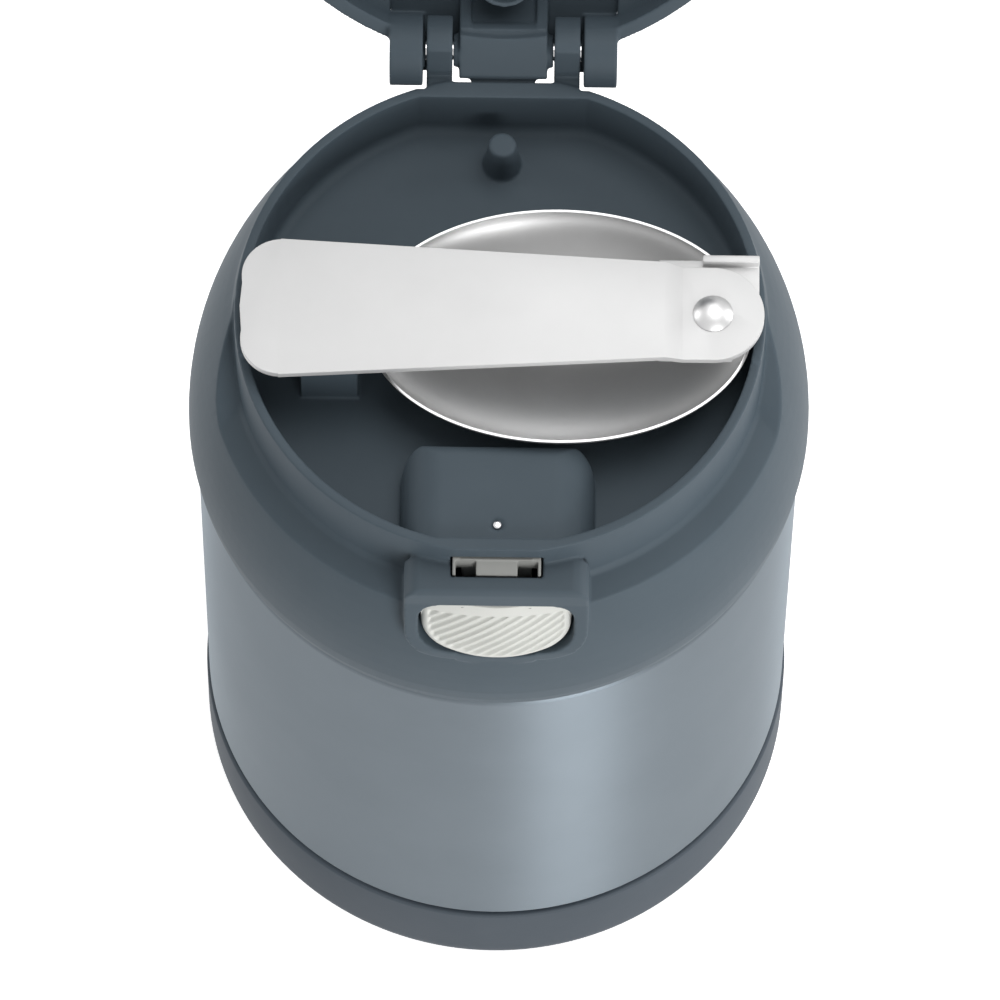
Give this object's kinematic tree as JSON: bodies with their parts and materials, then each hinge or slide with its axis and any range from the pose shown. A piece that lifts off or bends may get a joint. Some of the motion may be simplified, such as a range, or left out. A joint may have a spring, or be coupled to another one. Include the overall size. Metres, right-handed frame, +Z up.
{
  "type": "insulated food jar",
  "caption": "Insulated steel food jar with a rubbery boot, screw lid, latched flip-up cover and a folding spoon stowed in the lid's tray.",
  "frame": {"origin": "centre of the foot, on the surface that the jar stands on", "axes": "+Z up along the jar's axis, -Y to the front where the latch button is, +Y to the hinge of the cover, +X to the right"},
  "size_m": [0.098, 0.1556, 0.2247],
  "materials": {
    "slate_plastic": "fine satin moulding",
    "dark_plastic": "satin moulding",
    "boot": "matt",
    "steel_paint": "satin metallic coat",
    "vessel_steel": "brushed",
    "foil": "bright",
    "seal": "matt",
    "foam": "matt",
    "button": "satin",
    "catch": "satin",
    "spoon_steel": "satin, bright on the rim",
    "handle_steel": "fine blasted, almost white",
    "pin_steel": "polished"
  },
  "bodies": {
    "jar": {"base_boot": "boot", "outer_shell": "steel_paint", "neck_ring": "vessel_steel", "outer_bottom": "vessel_steel", "vacuum_seal": "vessel_steel", "getter": "vessel_steel", "inner_vessel": "vessel_steel", "reflective_foil": "foil"},
    "seal": {"lid_gasket": "seal"},
    "lid": {"lid_shell": "slate_plastic", "lid_collar": "dark_plastic", "lid_cup": "dark_plastic", "lid_insulation": "foam", "latch_pin": "pin_steel", "hinge_pin": "pin_steel"},
    "cover": {"cover_shell": "slate_plastic"},
    "latch": {"latch_button": "button", "latch_slider": "catch", "latch_spring": "pin_steel"},
    "spoon": {"spoon_bowl": "spoon_steel", "spoon_strap": "handle_steel", "spoon_rivet": "spoon_steel", "rivet_washer": "spoon_steel"},
    "handle": {"spoon_handle": "handle_steel"}
  },
  "joints": [
    {"name": "lid_rise", "type": "slide", "parent": "jar", "child": "seal", "axis": [0, 0, 1], "range_m": [0, 0.03]},
    {"name": "lid_turn", "type": "hinge", "parent": "seal", "child": "lid", "pos_m": [0, 0, 0.118], "axis": [0, 0, 1], "range_deg": [0, 720]},
    {"name": "cover_hinge", "type": "hinge", "parent": "lid", "child": "cover", "pos_m": [0, 0.0449, 0.1477], "axis": [1, 0, 0], "range_deg": [0, 130]},
    {"name": "button_push", "type": "slide", "parent": "lid", "child": "latch", "axis": [0, 1, 0], "range_m": [0, 0.0019], "stiffness_N_per_m": 600, "springref_m": -0.003},
    {"name": "spoon_lift", "type": "slide", "parent": "lid", "child": "spoon", "axis": [0, 0, 1], "range_m": [0, 0.05]},
    {"name": "spoon_unfold", "type": "hinge", "parent": "spoon", "child": "handle", "pos_m": [0.0329, -0.0012, 0.1475], "axis": [0, 0, 1], "range_deg": [0, 180]}
  ],
  "couplings": [
    {"joint": "lid_rise", "follows": "lid_turn", "m_per_rad": 0.0023873},
    {"joint": "spoon_unfold", "follows": "spoon_lift", "rad_per_m": 62.831}
  ]
}
